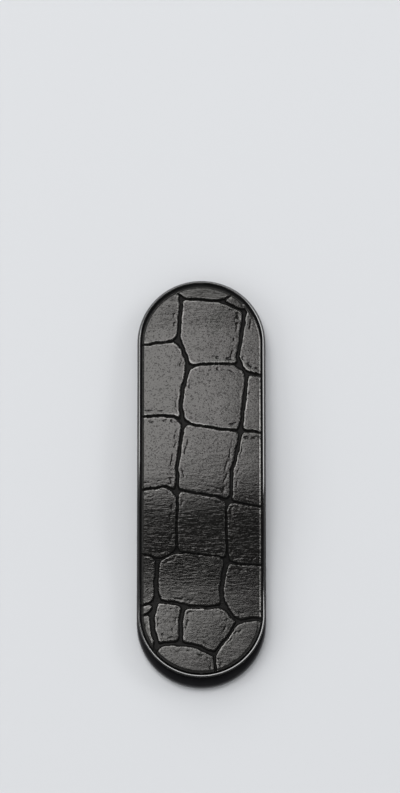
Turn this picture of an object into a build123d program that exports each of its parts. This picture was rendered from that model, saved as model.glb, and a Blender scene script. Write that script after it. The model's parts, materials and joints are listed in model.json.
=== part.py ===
"""Slim sliding-band finger grip with a crocodile-embossed leather face.

A low rail base is stuck down by a foam pad. A flexible band lies along it, screwed fast at
its head and carried by a sliding shoe at its foot. Pushing the foot towards the head bends
the band at four flex lines, and it rises into a loop for a finger.

Frame: origin at the middle of the stuck face, +Z away from that face, +Y towards the head.
Sizes are in millimetres and degrees. The band and its leather are drawn lying flat, cut at
the flex lines, and then set at the slight lift in which the grip rests.
"""
import os
from math import cos, radians, sin, tan

from build123d import *

# Rail base
base_length = 82.45
base_width = 25.6
base_thickness = 2.35
base_wall = 0.85
base_lower_edge = 0.15
shoulder_steps = 2
recess_wall = 1.5

# What sticks it down
pad_thickness = 0.5
pad_stand_off = 0.15
plate_thickness = 0.3
nest_clearance = 0.1

# Band, and how much of the base shows round it
toe_ledge = 1.6
crown_ledge = 0.65
side_ledge = 0.2
top_ledge = 0.15
running_gap = 0.1
floor_thickness = 1.0
rim_width = 0.42
rim_height = 0.45
rim_edge = 0.2
rim_lean_degrees = 30.0
band_lower_edge = 0.25

# Flex lines and the loop
head_length = 9.575
ramp_length = 20.0
foot_length = 17.625
flex_kerf = 0.08
notch_spare_degrees = 2.0
open_lift_degrees = 58.0
rest_lift_degrees = 4.0

# Leather
leather_gap = 0.38
leather_crown_gap = 0.78
sheet_thickness = 0.45
scale_height = 0.5
leather_edge = 0.25
furrow_width = 0.9
crease_width = 0.55
split_width = 1.1

# Fixings
spigot_radius = 1.65
spigot_clearance = 0.05
head_seat_depth = 0.8
head_spigot_x = 5.0
head_spigot_inset = 5.7
screw_shank_radius = 0.6
screw_head_radius = 1.25
screw_head_height = 0.4
screw_reach = 0.4
screw_clearance = 0.02
head_clearance = 0.1
drive_slot_width = 0.35
drive_slot_depth = 0.2

# Sliding shoe
shoe_inset = 10.4
shoe_neck_length = 13.0
shoe_neck_width = 8.0
shoe_flange_length = 16.0
shoe_flange_width = 12.0
shoe_flange_thickness = 0.7
shoe_clearance = 0.15
shoe_end_clearance = 0.4
shoe_spigot_spacing = 6.0
shoe_seat_depth = 0.8
rail_lip = 0.7

# Levels, from the stuck face upwards
base_bottom = pad_stand_off
base_top = base_bottom + base_thickness
shoulder_bottom = base_bottom + base_wall
recess_ceiling = pad_thickness + plate_thickness
lip_bottom = base_top - rail_lip
band_bottom = base_top + running_gap
floor_top = band_bottom + floor_thickness
leather_top = floor_top + sheet_thickness + scale_height

# Places along the grip, head to foot
band_width = base_width - 2 * side_ledge
band_length = base_length - crown_ledge - toe_ledge
band_centre = (toe_ledge - crown_ledge) / 2
band_head_end = band_centre + band_length / 2
band_foot_end = band_centre - band_length / 2
head_flex = band_head_end - head_length
upper_flex = head_flex - ramp_length
foot_flex = band_foot_end + foot_length
lower_flex = foot_flex + ramp_length
head_spigot_y = band_head_end - head_spigot_inset
shoe_y = band_foot_end + shoe_inset

# How far the shoe runs between the flat and the fully lifted band
open_lift = radians(open_lift_degrees)
hinge_drop = leather_top - floor_top
shoe_travel = 2 * (ramp_length * (1 - cos(open_lift)) - hinge_drop * sin(open_lift))

# The furrows of the hide, as (across, along) points from the middle of the band
LEFT_FURROW = (
    (-4.7, 37.9), (-4.1, 36.6), (-4.4, 31.4), (-4.7, 28.6), (-3.6, 26.5), (-2.6, 23.2), (-4.1, 15.2),
    (-3.4, 11.7), (-4.4, 6.0), (-4.9, 2.4), (-5.0, -2.1), (-4.7, -3.6), (-5.0, -13.9), (-8.6, -15.8),
)
RIGHT_FURROW = (
    (8.6, 34.3), (8.3, 31.8), (7.3, 25.3), (7.6, 23.4), (9.1, 21.8), (8.6, 16.9), (7.8, 10.2), (6.7, 4.6),
    (5.9, 1.9), (5.9, -2.8), (5.3, -3.9), (4.8, -5.6), (5.0, -15.9),
)
LEFT_SPLIT = ((-8.6, -15.8), (-9.0, -21.3), (-8.7, -23.7), (-9.7, -27.0), (-9.0, -32.2), (-9.4, -34.8))
RIGHT_SPLIT = ((5.0, -15.9), (4.3, -18.2), (3.9, -21.6), (4.5, -25.1))
TOE_SPLIT = ((-3.6, -25.2), (-4.1, -28.5), (-4.1, -31.7), (-4.4, -32.8))
TOE_FURROW = ((7.2, -28.3), (5.0, -31.6), (2.6, -35.3), (2.8, -38.2))
CREASES = (
    ((-3.8, 36.8), (4.1, 36.3), (8.6, 34.3)),
    ((4.1, 36.3), (5.9, 37.5)),
    ((-12.0, 27.6), (-4.7, 28.6)),
    ((-2.6, 23.2), (2.5, 23.8), (7.6, 23.4)),
    ((9.1, 21.8), (12.0, 21.5)),
    ((-12.0, 13.1), (-5.5, 13.1), (-3.4, 11.7)),
    ((-3.4, 11.7), (3.5, 10.5), (12.0, 9.8)),
    ((-12.0, -1.8), (-6.9, -1.1), (-5.0, -2.1)),
    ((-5.0, -2.1), (-0.5, -2.5), (5.3, -3.9), (12.0, -5.1)),
    ((-12.0, -14.5), (-10.1, -14.7), (-8.6, -15.8)),
    ((-5.0, -13.9), (3.4, -14.8), (5.0, -15.9)),
    ((5.0, -15.9), (6.9, -16.4), (12.0, -16.6)),
    ((-12.0, -25.1), (-8.7, -23.7)),
    ((-12.0, -27.1), (-9.7, -26.5)),
    ((-8.7, -23.7), (-5.0, -24.5), (-2.8, -25.3), (4.5, -25.1)),
    ((4.5, -25.1), (6.2, -27.3), (7.5, -28.2), (12.0, -28.0)),
    ((-9.0, -33.3), (-7.2, -32.8), (-4.4, -32.8), (-0.5, -33.6), (2.4, -34.9)),
)
FURROWS = (
    (furrow_width, (LEFT_FURROW, RIGHT_FURROW, TOE_FURROW)),
    (split_width, (LEFT_SPLIT, RIGHT_SPLIT, TOE_SPLIT)),
    (crease_width, CREASES),
)


def turned(along: float, level: float, lift: float) -> Location:
    """A turn about a flex line that lifts what lies on its foot side."""
    return Pos(0, along, level) * Rot(-lift, 0, 0) * Pos(0, -along, -level)


def carried(pose: Location, along: float, level: float) -> Location:
    """The plain shift that a pose gives to a flex line, for the level piece that hangs on it."""
    there = (pose * Pos(0, along, level)).position
    return Pos(*(there - Vector(0, along, level)))


upper_pose = turned(head_flex, leather_top, rest_lift_degrees)
bridge_pose = carried(upper_pose, upper_flex, floor_top)
lower_pose = bridge_pose * turned(lower_flex, floor_top, -rest_lift_degrees)
foot_pose = carried(lower_pose, foot_flex, leather_top)

# Each panel of the band: its name, where it starts and ends, and how it rests
PANELS = (
    ("head", band_head_end + band_width, head_flex, Pos(0, 0, 0)),
    ("upper_ramp", head_flex, upper_flex, upper_pose),
    ("bridge", upper_flex, lower_flex, bridge_pose),
    ("lower_ramp", lower_flex, foot_flex, lower_pose),
    ("foot", foot_flex, band_foot_end - band_width, foot_pose),
)

os.makedirs("parts", exist_ok=True)

# Foam pad that sticks the grip down
nest_length = base_length - 2 * recess_wall
nest_width = base_width - 2 * recess_wall
with BuildPart() as adhesive_pad:
    with BuildSketch():
        SlotOverall(nest_length - 2 * nest_clearance, nest_width - 2 * nest_clearance, rotation=90)
    extrude(amount=pad_thickness)

# Steel plate that closes the rail from below and takes a magnet
with BuildPart() as backing_plate:
    with BuildSketch(Plane.XY.offset(pad_thickness)):
        SlotOverall(nest_length - 2 * nest_clearance, nest_width - 2 * nest_clearance, rotation=90)
    extrude(amount=plate_thickness)

# Rail base, a low moulding whose wall rounds in to a flat top just wider than the band, with a T-slot
# for the shoe and two sockets for the band's head
slot_middle = shoe_y + shoe_travel / 2
slot_growth = shoe_travel + 2 * shoe_end_clearance
with BuildPart() as rail_base:
    with BuildSketch(Plane.XY.offset(base_bottom)):
        SlotOverall(base_length, base_width, rotation=90)
    extrude(amount=base_wall)
    for step in range(shoulder_steps + 1):
        swing = radians(90 * step / shoulder_steps)
        share = 1 - cos(swing)
        ring_length = base_length + share * (band_length + 2 * top_ledge - base_length)
        ring_width = base_width + share * (band_width + 2 * top_ledge - base_width)
        ring_level = shoulder_bottom + (base_top - shoulder_bottom) * sin(swing)
        with BuildSketch(Plane((0, share * band_centre, ring_level))):
            SlotOverall(ring_length, ring_width, rotation=90)
    loft()
    chamfer(rail_base.faces().sort_by(Axis.Z)[0].edges(), base_lower_edge)
    with BuildSketch(Plane.XY.offset(base_bottom)):
        SlotOverall(nest_length, nest_width, rotation=90)
    extrude(amount=recess_ceiling - base_bottom, mode=Mode.SUBTRACT)
    channel_length = shoe_flange_length + slot_growth
    channel_width = shoe_flange_width + 2 * shoe_clearance
    with BuildSketch(Plane((0, slot_middle, recess_ceiling))):
        SlotOverall(channel_length, channel_width, rotation=90)
    extrude(amount=lip_bottom - recess_ceiling, mode=Mode.SUBTRACT)
    with BuildSketch(Plane((0, slot_middle, lip_bottom))):
        SlotOverall(shoe_neck_length + slot_growth, shoe_neck_width + 2 * shoe_clearance, rotation=90)
    extrude(amount=rail_lip, mode=Mode.SUBTRACT)
    with BuildSketch(Plane((0, head_spigot_y, base_top))):
        with GridLocations(2 * head_spigot_x, 0, 2, 1):
            Circle(spigot_radius + spigot_clearance)
    extrude(amount=-head_seat_depth, mode=Mode.SUBTRACT)
    with BuildSketch(Plane((0, head_spigot_y, recess_ceiling))):
        with GridLocations(2 * head_spigot_x, 0, 2, 1):
            Circle(screw_head_radius + head_clearance)
    extrude(amount=screw_head_height, mode=Mode.SUBTRACT)
    with BuildSketch(Plane((0, head_spigot_y, recess_ceiling))):
        with GridLocations(2 * head_spigot_x, 0, 2, 1):
            Circle(screw_shank_radius + head_clearance)
    extrude(amount=base_top - head_seat_depth - recess_ceiling, mode=Mode.SUBTRACT)

# Sliding shoe: a flange under the rail's lips and a neck that comes up through the slot
flange_bottom = lip_bottom - shoe_clearance - shoe_flange_thickness
shoe_seat = band_bottom - shoe_seat_depth
with BuildPart() as slide_shoe_flat:
    with BuildSketch(Plane((0, shoe_y, flange_bottom))):
        SlotOverall(shoe_flange_length, shoe_flange_width, rotation=90)
    extrude(amount=shoe_flange_thickness)
    with BuildSketch(Plane((0, shoe_y, flange_bottom))):
        SlotOverall(shoe_neck_length, shoe_neck_width, rotation=90)
    extrude(amount=band_bottom - flange_bottom)
    with BuildSketch(Plane((0, shoe_y, band_bottom))):
        with GridLocations(0, shoe_spigot_spacing, 1, 2):
            Circle(spigot_radius + spigot_clearance)
    extrude(amount=-shoe_seat_depth, mode=Mode.SUBTRACT)
    with BuildSketch(Plane((0, shoe_y, flange_bottom))):
        with GridLocations(0, shoe_spigot_spacing, 1, 2):
            Circle(screw_head_radius + head_clearance)
    extrude(amount=screw_head_height, mode=Mode.SUBTRACT)
    with BuildSketch(Plane((0, shoe_y, flange_bottom))):
        with GridLocations(0, shoe_spigot_spacing, 1, 2):
            Circle(screw_shank_radius + head_clearance)
    extrude(amount=shoe_seat - flange_bottom, mode=Mode.SUBTRACT)
with BuildPart() as slide_shoe:
    add(slide_shoe_flat.part.moved(foot_pose))


def screw_pair(seat: Plane, across: float, along: float) -> Part:
    """Two pan-head screws that stand point up, with their heads hanging under the seat plane.

    Args:
        seat: the plane that the undersides of the heads bear on, at the middle of the pair.
        across: the distance between the screws along X.
        along: the distance between the screws along Y.

    Returns:
        The two screws as one part of separate solids.
    """
    tip = floor_top - screw_reach - seat.origin.Z
    with BuildPart(seat) as screws:
        with BuildSketch(seat):
            with GridLocations(across, along, 2 if across else 1, 2 if along else 1):
                Circle(screw_shank_radius)
        extrude(amount=tip)
        with BuildSketch(seat):
            with GridLocations(across, along, 2 if across else 1, 2 if along else 1):
                Circle(screw_head_radius)
        extrude(amount=-screw_head_height)
        with BuildSketch(seat.offset(-screw_head_height)):
            with GridLocations(across, along, 2 if across else 1, 2 if along else 1):
                Rectangle(2 * screw_head_radius, drive_slot_width)
        extrude(amount=drive_slot_depth, mode=Mode.SUBTRACT)
    return screws.part


with BuildPart() as anchor_screws:
    add(screw_pair(Plane((0, head_spigot_y, recess_ceiling + screw_head_height)), 2 * head_spigot_x, 0))
with BuildPart() as shoe_screws:
    shoe_screw_seat = Plane((0, shoe_y, flange_bottom + screw_head_height))
    add(screw_pair(shoe_screw_seat, 0, shoe_spigot_spacing).moved(foot_pose))

# Band, whole and flat: a floor inside a raised rim, with spigots, notched where it bends outwards
spigot_hole = screw_shank_radius + screw_clearance
notch_half_angle = open_lift / 2 + radians(notch_spare_degrees)
notch_half_width = flex_kerf / 2 + floor_thickness * tan(notch_half_angle)
rim_root = rim_width + rim_height * tan(radians(rim_lean_degrees))
with BuildPart() as band:
    with BuildSketch(Plane((0, band_centre, band_bottom))):
        SlotOverall(band_length, band_width, rotation=90)
    extrude(amount=floor_thickness + rim_height)
    chamfer(band.faces().sort_by(Axis.Z)[-1].edges(), rim_edge)
    chamfer(band.faces().sort_by(Axis.Z)[0].edges(), band_lower_edge)
    with BuildSketch(Plane((0, band_centre, floor_top))):
        SlotOverall(band_length - 2 * rim_root, band_width - 2 * rim_root, rotation=90)
    extrude(amount=rim_height, taper=-rim_lean_degrees, mode=Mode.SUBTRACT)
    with BuildSketch(Plane((0, head_spigot_y, band_bottom))):
        with GridLocations(2 * head_spigot_x, 0, 2, 1):
            Circle(spigot_radius)
    extrude(amount=base_top - head_seat_depth - band_bottom)
    with BuildSketch(Plane((0, shoe_y, band_bottom))):
        with GridLocations(0, shoe_spigot_spacing, 1, 2):
            Circle(spigot_radius)
    extrude(amount=-shoe_seat_depth)
    screw_top = floor_top - screw_reach + screw_clearance
    with BuildSketch(Plane((0, head_spigot_y, screw_top))):
        with GridLocations(2 * head_spigot_x, 0, 2, 1):
            Circle(spigot_hole)
    extrude(amount=base_bottom - screw_top, mode=Mode.SUBTRACT)
    with BuildSketch(Plane((0, shoe_y, screw_top))):
        with GridLocations(0, shoe_spigot_spacing, 1, 2):
            Circle(spigot_hole)
    extrude(amount=base_bottom - screw_top, mode=Mode.SUBTRACT)
    for notch_y in (upper_flex, lower_flex):
        with BuildSketch(Plane((0, notch_y, floor_top), x_dir=(0, 1, 0), z_dir=(1, 0, 0))):
            with BuildLine():
                Polyline(
                    (-flex_kerf / 2, 0),
                    (flex_kerf / 2, 0),
                    (notch_half_width, -floor_thickness),
                    (-notch_half_width, -floor_thickness),
                    close=True,
                )
            make_face()
        extrude(amount=band_width, both=True, mode=Mode.SUBTRACT)

# Leather facing, whole and flat: a hide with its edge rolled down and its furrows pressed in
with BuildPart() as leather:
    leather_length = band_length - 2 * rim_width - leather_gap - leather_crown_gap
    leather_width = band_width - 2 * (rim_width + leather_gap)
    leather_centre = band_centre + (leather_gap - leather_crown_gap) / 2
    with BuildSketch(Plane((0, leather_centre, floor_top))):
        SlotOverall(leather_length, leather_width, rotation=90)
    extrude(amount=sheet_thickness + scale_height)
    chamfer(leather.faces().sort_by(Axis.Z)[-1].edges(), leather_edge)
    with BuildSketch(Plane((0, band_centre, leather_top))):
        for width, courses in FURROWS:
            for course in courses:
                with BuildLine():
                    Polyline(*course)
                trace(line_width=width)
    extrude(amount=-scale_height, mode=Mode.SUBTRACT)

# Cut both at the flex lines and set each panel as it rests
for layer, whole in (("band", band), ("leather", leather)):
    for panel_name, near, far, pose in PANELS:
        with BuildPart() as panel_flat:
            add(whole.part)
            with BuildSketch(Plane((0, (near + far) / 2, 0))):
                Rectangle(2 * band_width, near - far - flex_kerf)
            extrude(amount=2 * leather_top, mode=Mode.INTERSECT)
        with BuildPart() as panel:
            add(panel_flat.part.moved(pose))
        panel.part.label = f"{layer}_{panel_name}"
        export_step(panel.part, f"parts/{layer}_{panel_name}.step")

adhesive_pad.part.label = "adhesive_pad"
export_step(adhesive_pad.part, "parts/adhesive_pad.step")
backing_plate.part.label = "backing_plate"
export_step(backing_plate.part, "parts/backing_plate.step")
rail_base.part.label = "rail_base"
export_step(rail_base.part, "parts/rail_base.step")
slide_shoe.part.label = "slide_shoe"
export_step(slide_shoe.part, "parts/slide_shoe.step")
anchor_screws.part.label = "anchor_screws"
export_step(anchor_screws.part, "parts/anchor_screws.step")
shoe_screws.part.label = "shoe_screws"
export_step(shoe_screws.part, "parts/shoe_screws.step")
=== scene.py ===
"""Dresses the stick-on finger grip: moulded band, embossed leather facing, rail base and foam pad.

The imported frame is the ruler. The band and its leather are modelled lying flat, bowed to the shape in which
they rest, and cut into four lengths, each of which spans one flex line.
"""

import json
import logging
import math
from dataclasses import dataclass
from enum import Enum

import bmesh
import bpy
import numpy as np
from bmesh.types import BMEdge, BMVert, BMesh
from bpy.types import Material, Mesh, Node, NodeSocket, NodeTree, Object
from mathutils import Matrix, Vector


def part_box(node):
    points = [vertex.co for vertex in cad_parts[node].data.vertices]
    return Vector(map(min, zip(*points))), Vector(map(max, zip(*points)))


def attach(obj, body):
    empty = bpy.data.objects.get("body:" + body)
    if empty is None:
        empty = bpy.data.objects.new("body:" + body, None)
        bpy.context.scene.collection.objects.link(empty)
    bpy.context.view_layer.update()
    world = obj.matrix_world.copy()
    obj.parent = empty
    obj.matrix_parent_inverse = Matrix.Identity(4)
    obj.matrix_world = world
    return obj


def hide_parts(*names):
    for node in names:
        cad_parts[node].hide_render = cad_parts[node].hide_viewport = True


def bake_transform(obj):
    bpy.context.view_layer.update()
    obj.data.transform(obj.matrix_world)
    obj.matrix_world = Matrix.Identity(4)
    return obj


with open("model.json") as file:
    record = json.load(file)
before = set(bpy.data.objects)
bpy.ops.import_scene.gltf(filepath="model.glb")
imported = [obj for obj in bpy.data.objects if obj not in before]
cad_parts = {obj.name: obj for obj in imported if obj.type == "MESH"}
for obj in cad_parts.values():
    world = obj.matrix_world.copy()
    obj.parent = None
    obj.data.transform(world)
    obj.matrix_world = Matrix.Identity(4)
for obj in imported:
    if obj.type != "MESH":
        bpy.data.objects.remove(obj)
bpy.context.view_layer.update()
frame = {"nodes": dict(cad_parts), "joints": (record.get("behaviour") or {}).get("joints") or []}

LOG = logging.getLogger("finger_grip")
MM = 0.001
CUT_SNAP = 1e-7

Pair = tuple[float, float]
Triple = tuple[float, float, float]


class Slot(Enum):
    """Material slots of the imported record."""

    FOAM = "foam"
    BAND = "band_black"
    LEATHER = "croc_leather"


class Length(Enum):
    """The four lengths of the band, with the two bodies that each one lies between."""

    HEAD = ("base", "upper_ramp")
    UPPER = ("upper_ramp", "bridge")
    LOWER = ("bridge", "lower_ramp")
    FOOT = ("lower_ramp", "foot")

    @property
    def panels(self) -> tuple[str, str]:
        """The two panel names that this length stands for."""
        return tuple("head" if body == "base" else body for body in self.value)


@dataclass(frozen=True)
class BandLay:
    """Where the band and its leather lie when flat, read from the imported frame, in metres."""

    flex: tuple[float, float, float, float]
    bottom: float
    floor: float
    rim_top: float
    leather_top: float
    half_width: float
    head_end: float
    foot_end: float
    leather_half_width: float
    leather_head_end: float
    leather_foot_end: float
    lift: float
    creep: float
    ease: float = 5.0 * MM
    turn: float = 5.0 * MM
    toe_spring: float = 0.03
    rest_share: float = 1.32

    @classmethod
    def from_joints(cls, joints: list[dict]) -> "BandLay":
        """Works the flat lay out from the pivots and the boxes of the panels.

        Args:
            joints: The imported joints, from the head of the band to its foot.

        Returns:
            The lay of the band.
        """
        rest = [Vector(joint["pos_m"]) for joint in joints]
        closing = Matrix.Identity(4)
        flat = []
        for joint, pivot in zip(joints, rest):
            flat.append(closing @ pivot)
            angle = math.radians(min(joint["range_deg"], key=abs))
            turn = Matrix.Rotation(angle, 4, Vector(joint["axis"]))
            closing = closing @ Matrix.Translation(pivot) @ turn @ Matrix.Translation(-pivot)
        lift = rest[1].z - flat[1].z
        creep = rest[3].y - flat[3].y
        band_low, band_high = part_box("band_bridge")
        hide_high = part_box("leather_bridge")[1]
        return cls(
            flex=tuple(pivot.y for pivot in flat),
            bottom=band_low.z - lift,
            floor=flat[1].z,
            rim_top=band_high.z - lift,
            leather_top=flat[0].z,
            half_width=band_high.x,
            head_end=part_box("band_head")[1].y,
            foot_end=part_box("band_foot")[0].y - creep,
            leather_half_width=hide_high.x,
            leather_head_end=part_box("leather_head")[1].y,
            leather_foot_end=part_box("leather_foot")[0].y - creep,
            lift=lift,
            creep=creep,
        )

    @property
    def middle(self) -> float:
        """Half way along the band."""
        return (self.head_end + self.foot_end) / 2

    @property
    def seams(self) -> Triple:
        """Where the lengths meet: half way between the flex lines."""
        return tuple((a + b) / 2 for a, b in zip(self.flex, self.flex[1:]))

    def reach(self, length: Length) -> Pair:
        """The places along the flat band where a length starts and ends.

        Args:
            length: Which length of the band.

        Returns:
            The lower and the upper place.
        """
        beyond = 10 * MM
        stops = (self.head_end + beyond, *self.seams, self.foot_end - beyond)
        index = list(Length).index(length)
        return stops[index + 1], stops[index]

    def bend_zone(self, length: Length) -> Pair:
        """The places between which a length turns from its first body to its second.

        The turn is spread over the ramp's side of the flex line, so that head, bridge and foot stay flat.

        Args:
            length: Which length of the band.

        Returns:
            Where the turn starts and where it ends.
        """
        head, upper, lower, foot = self.flex
        zones = {
            Length.HEAD: (head, head - self.turn),
            Length.UPPER: (upper + self.turn, upper),
            Length.LOWER: (lower, lower - self.turn),
            Length.FOOT: (foot + self.turn, foot),
        }
        return zones[length]


class Bow:
    """Carries flat points onto the slight arch in which the band rests."""

    STEPS = 4001
    OVERRUN = 2 * MM
    CLIMB = (0, 1, 1, 0)
    FALL = (0, 0.4, 0.68, 1, 1, 0)
    SPRING = (0.8, 1, 0)
    CREEP = (1.0, 0.5, 0.5, 0.0)

    def __init__(self, lay: BandLay) -> None:
        """Adds up the arch's slope along the band, which climbs from both ends to its crest.

        Args:
            lay: The band's lay.
        """
        head, upper, lower, foot = lay.flex
        upper_seam, _, lower_seam = lay.seams
        ease, crest = lay.ease, lower
        self.level = lay.floor
        self.places = np.linspace(lay.foot_end - self.OVERRUN, lay.head_end + self.OVERRUN, self.STEPS)
        step = self.places[1] - self.places[0]
        toe = foot - ease / 5
        climb_stops = (toe, lower_seam - ease / 2, crest - 1.4 * ease, crest)
        fall_stops = (crest, crest + ease, upper, upper_seam, head - 0.8 * ease, head + 0.2 * ease)
        spring_stops = (foot - 3 * ease, foot - ease, toe)
        climb = np.interp(self.places, climb_stops, self.CLIMB)
        fall = np.interp(self.places, fall_stops, self.FALL)
        spring = lay.toe_spring * np.interp(self.places, spring_stops, self.SPRING)
        rise = lay.rest_share * lay.lift / step
        self.slope = rise * (climb / climb.sum() - fall / fall.sum()) - spring
        self.rise = np.cumsum(self.slope) * step + spring.sum() * step
        self.shift = lay.creep * np.interp(self.places, (foot, lower, upper, head), self.CREEP)

    def bend(self, points: np.ndarray) -> np.ndarray:
        """Points of the flat band, carried onto the arch.

        Args:
            points: Flat points, one a row.

        Returns:
            The same points at rest.
        """
        slope = np.interp(points[:, 1], self.places, self.slope)
        cosine = 1 / np.sqrt(1 + slope**2)
        height = points[:, 2] - self.level
        moved = points.copy()
        moved[:, 1] += np.interp(points[:, 1], self.places, self.shift) - slope * cosine * height
        moved[:, 2] = self.level + np.interp(points[:, 1], self.places, self.rise) + cosine * height
        return moved

    def turn(self, points: np.ndarray, normals: np.ndarray) -> np.ndarray:
        """Normals of the flat band, turned with the arch.

        Args:
            points: The flat points that the normals stand on.
            normals: One normal a row.

        Returns:
            The turned normals.
        """
        slope = np.interp(points[:, 1], self.places, self.slope)
        cosine = 1 / np.sqrt(1 + slope**2)
        sine = slope * cosine
        turned = normals.copy()
        turned[:, 1] = cosine * normals[:, 1] - sine * normals[:, 2]
        turned[:, 2] = sine * normals[:, 1] + cosine * normals[:, 2]
        return turned

    def place(self, along: float) -> Vector:
        """The point of the arch's own line at a place along the flat band."""
        return Vector(self.bend(np.array([[0.0, along, self.level]]))[0])


class Pattern(Enum):
    """The seeded patterns of the hide, each with its seed."""

    WANDER_ACROSS = 11
    WANDER_ALONG = 12
    ROUGH = 13
    BITE = 21
    STRAY = 22
    BITE_PATCH = 23
    WRINKLE = 31
    PEBBLE = 32
    SWELL = 33
    WEAR = 41


def mottle(across: np.ndarray, along: np.ndarray, cell: Pair, pattern: Pattern) -> np.ndarray:
    """Smooth seeded noise between -1 and 1.

    Args:
        across: Places across the band, in millimetres.
        along: Places along the band, in millimetres.
        cell: Size of one lump, across and along.
        pattern: Which of the patterns.

    Returns:
        One value for each place.
    """
    count = 256
    lattice = np.random.default_rng(pattern.value).uniform(-1, 1, (count, count))
    u, v = across / cell[0] + count / 2, along / cell[1] + count / 2
    column, row = np.floor(u).astype(int), np.floor(v).astype(int)
    s, t = u - column, v - row
    s, t = s * s * s * (s * (6 * s - 15) + 10), t * t * t * (t * (6 * t - 15) + 10)
    near, far = column % count, (column + 1) % count
    low, high = row % count, (row + 1) % count
    lower = lattice[low, near] * (1 - s) + lattice[low, far] * s
    upper = lattice[high, near] * (1 - s) + lattice[high, far] * s
    return lower * (1 - t) + upper * t


def smooth_step(value: np.ndarray, start: float, end: float) -> np.ndarray:
    """Goes smoothly from 0 at start to 1 at end."""
    t = np.clip((value - start) / (end - start), 0, 1)
    return t * t * (3 - 2 * t)


@dataclass(frozen=True)
class Furrow:
    """One furrow of the hide: its width and the points that it runs through.

    The points are places across and along, in millimetres from the band's middle.
    """

    width: float
    points: tuple[Pair, ...]

    def distance(self, across: np.ndarray, along: np.ndarray) -> np.ndarray:
        """How far each place is outside this furrow's edge, in millimetres.

        Args:
            across: Places across the band.
            along: Places along the band.

        Returns:
            The distances, below 0 inside the furrow.
        """
        nearest = np.full(across.shape, np.inf)
        for (x0, y0), (x1, y1) in zip(self.points, self.points[1:]):
            dx, dy = x1 - x0, y1 - y0
            share = np.clip(((across - x0) * dx + (along - y0) * dy) / (dx * dx + dy * dy), 0, 1)
            gap = np.hypot(across - x0 - share * dx, along - y0 - share * dy)
            nearest = np.minimum(nearest, gap)
        return nearest - self.width / 2


HIDE_FURROWS = (
    Furrow(0.55, ((-4.67, 37.52), (-3.80, 36.46), (4.12, 35.93), (5.90, 37.10))),
    Furrow(0.70, ((4.12, 35.93), (6.99, 34.55), (8.57, 33.81))),
    Furrow(0.90, ((-4.1, 36.26), (-4.14, 34.12), (-4.40, 30.72), (-4.67, 27.82))),
    Furrow(0.50, ((-11.9, 26.80), (-8.16, 27.30), (-4.67, 27.82))),
    Furrow(0.90, ((-4.67, 27.82), (-3.60, 25.68), (-2.81, 23.40), (-2.55, 22.30))),
    Furrow(0.55, ((-2.55, 22.35), (-0.24, 22.75), (2.48, 22.99), (6.69, 22.85), (7.58, 22.55))),
    Furrow(0.90, ((8.57, 33.81), (8.32, 31.23), (7.78, 27.83), (7.27, 24.47), (7.58, 22.55))),
    Furrow(0.70, ((7.58, 22.55), (9.07, 20.93), (11.9, 20.63))),
    Furrow(0.90, ((9.07, 20.93), (8.99, 20.12), (8.57, 15.99), (8.06, 11.82), (7.78, 9.19))),
    Furrow(0.90, ((-2.55, 22.30), (-3.09, 20.63), (-3.74, 17.34), (-4.14, 14.29), (-3.80, 11.68))),
    Furrow(0.60, ((-11.9, 12.08), (-8.16, 12.23), (-5.46, 12.08), (-3.35, 10.71))),
    Furrow(0.55, ((-3.35, 10.71), (-1.23, 10.30), (3.52, 9.48), (7.78, 9.19), (11.9, 8.79))),
    Furrow(
        0.80,
        ((-3.35, 10.71), (-3.74, 9.62), (-4.4, 4.95), (-4.95, 1.38), (-4.79, -1.03), (-4.89, -3.08)),
    ),
    Furrow(0.85, ((7.78, 9.19), (7.52, 7.69), (6.73, 3.58), (5.94, 0.81), (5.86, -3.89), (5.31, -5.01))),
    Furrow(0.60, ((-11.9, -2.88), (-6.91, -2.18), (-4.99, -3.18))),
    Furrow(
        0.60,
        ((-4.99, -3.18), (-3.6, -3.04), (-0.51, -3.61), (3.37, -4.29), (5.31, -5.01), (11.9, -6.27)),
    ),
    Furrow(0.70, ((-4.99, -3.18), (-4.69, -4.70), (-4.99, -9.54), (-4.83, -13.51), (-4.99, -14.94))),
    Furrow(0.70, ((5.31, -5.01), (4.75, -6.71), (4.91, -10.95), (5.03, -14.64), (5.03, -16.90))),
    Furrow(0.60, ((-11.9, -15.50), (-10.1, -15.70), (-8.57, -16.77), (-4.99, -14.94))),
    Furrow(0.55, ((-4.99, -14.94), (-0.79, -15.50), (3.37, -15.78), (5.03, -16.90))),
    Furrow(0.60, ((5.03, -16.90), (6.89, -17.38), (11.9, -17.56))),
    Furrow(1.10, ((-8.57, -16.77), (-8.85, -17.98), (-8.99, -22.17), (-8.71, -24.46))),
    Furrow(1.10, ((5.03, -16.90), (4.32, -19.13), (3.92, -22.48), (4.12, -25.36))),
    Furrow(0.60, ((-11.9, -25.86), (-9.15, -25.02), (-8.71, -24.52))),
    Furrow(0.50, ((-11.9, -27.80), (-9.68, -27.24))),
    Furrow(
        0.85,
        ((-8.71, -24.52), (-7.76, -25.02), (-4.99, -25.31), (-2.75, -26.13), (0.75, -26.15), (4.47, -25.86)),
    ),
    Furrow(0.95, ((4.47, -25.86), (6.16, -28.08), (7.54, -28.91), (10.59, -28.34), (11.9, -28.73))),
    Furrow(
        1.15,
        (
            (-9.15, -25.02), (-9.68, -27.80), (-9.54, -30.58), (-8.99, -32.82),
            (-8.71, -33.91), (-9.4, -35.23),
        ),
    ),
    Furrow(1.05, ((-3.6, -25.96), (-4.14, -29.18), (-4.14, -32.30), (-4.42, -33.37))),
    Furrow(0.75, ((7.19, -29.03), (5.03, -32.23), (3.09, -34.69), (2.53, -35.76), (2.81, -38.86))),
    Furrow(0.95, ((-8.71, -33.91), (-7.17, -33.39), (-4.42, -33.37), (-0.51, -34.15), (2.26, -35.38))),
)


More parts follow.
